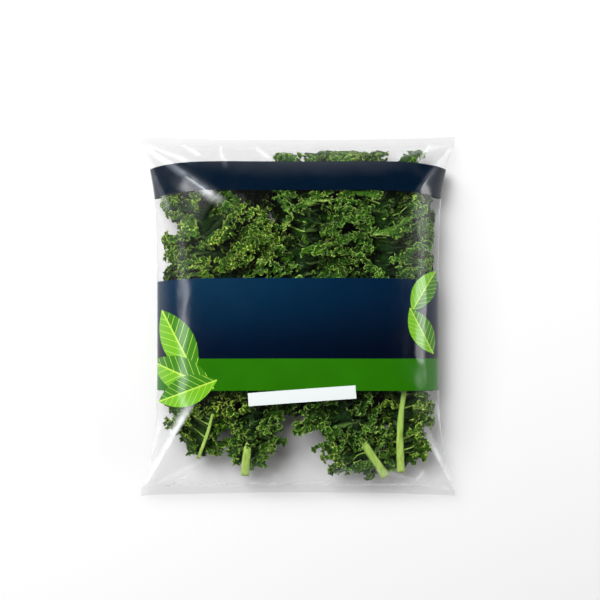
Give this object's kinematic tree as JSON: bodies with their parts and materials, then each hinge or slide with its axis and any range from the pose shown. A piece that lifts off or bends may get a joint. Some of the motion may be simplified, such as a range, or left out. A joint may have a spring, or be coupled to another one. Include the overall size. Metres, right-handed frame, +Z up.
{
  "type": "bag of curly kale",
  "caption": "Sealed clear pillow bag lying on its back, filled with loose frilled kale leaves on their stalks.",
  "frame": {"origin": "under the middle of the bag, on the surface it lies on", "axes": "+Y towards the bag's top seal, +Z up through the bag from its back to its front"},
  "size_m": [0.28, 0.32, 0.064],
  "materials": {
    "film": "thin clear glossy film with plain navy and green printed bands",
    "leaf": "waxy dark green blade with bright green frilled margins and pale green ribs"
  },
  "bodies": {
    "root": {"bag_film": "film", "leaf_front_left": "leaf", "leaf_front_stalk": "leaf", "leaf_front_middle": "leaf", "leaf_front_right": "leaf", "leaf_head_left": "leaf", "leaf_head_middle": "leaf", "leaf_head_right": "leaf", "leaf_middle_far_left": "leaf", "leaf_middle_left": "leaf", "leaf_middle_right": "leaf", "leaf_middle_far_right": "leaf", "leaf_back_left": "leaf", "leaf_back_centre": "leaf", "leaf_back_right": "leaf"}
  },
  "joints": []
}
